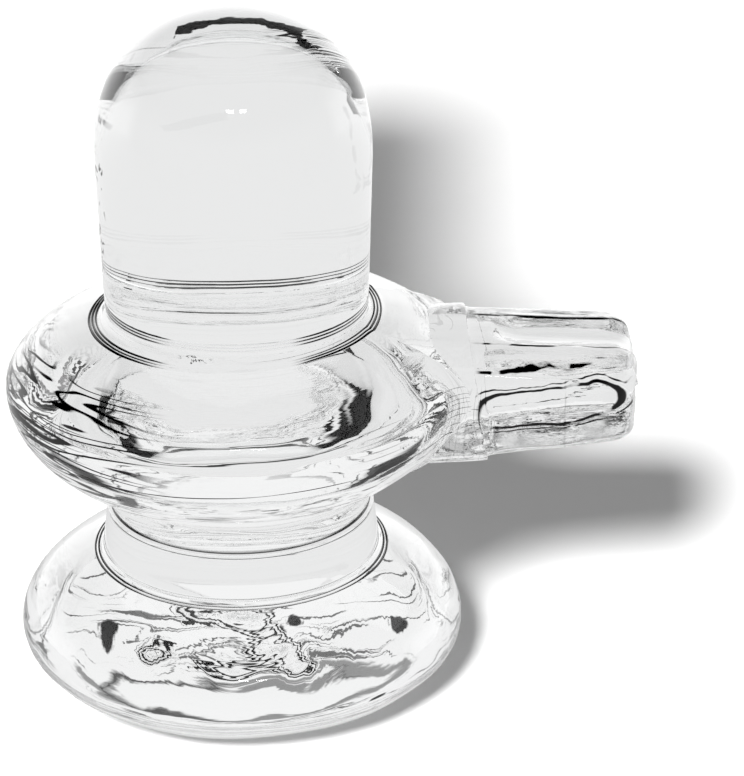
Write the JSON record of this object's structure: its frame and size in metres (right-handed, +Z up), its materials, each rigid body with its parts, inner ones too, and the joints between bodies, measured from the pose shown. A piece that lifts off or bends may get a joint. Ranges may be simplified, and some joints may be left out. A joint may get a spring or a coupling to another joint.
{
  "type": "shiva lingam",
  "caption": "Clear crystal devotional figure: a domed shaft on a round plate with a water spout, on a waisted round base, for an altar or shelf.",
  "frame": {"origin": "centre of the flat underside, on the shaft's axis", "axes": "+Z up along the shaft, +X along the spout"},
  "size_m": [0.0584, 0.043, 0.0651],
  "materials": {
    "clear_crystal": "polished, clear"
  },
  "bodies": {
    "root": {"shiva_lingam": "clear_crystal"}
  },
  "joints": []
}
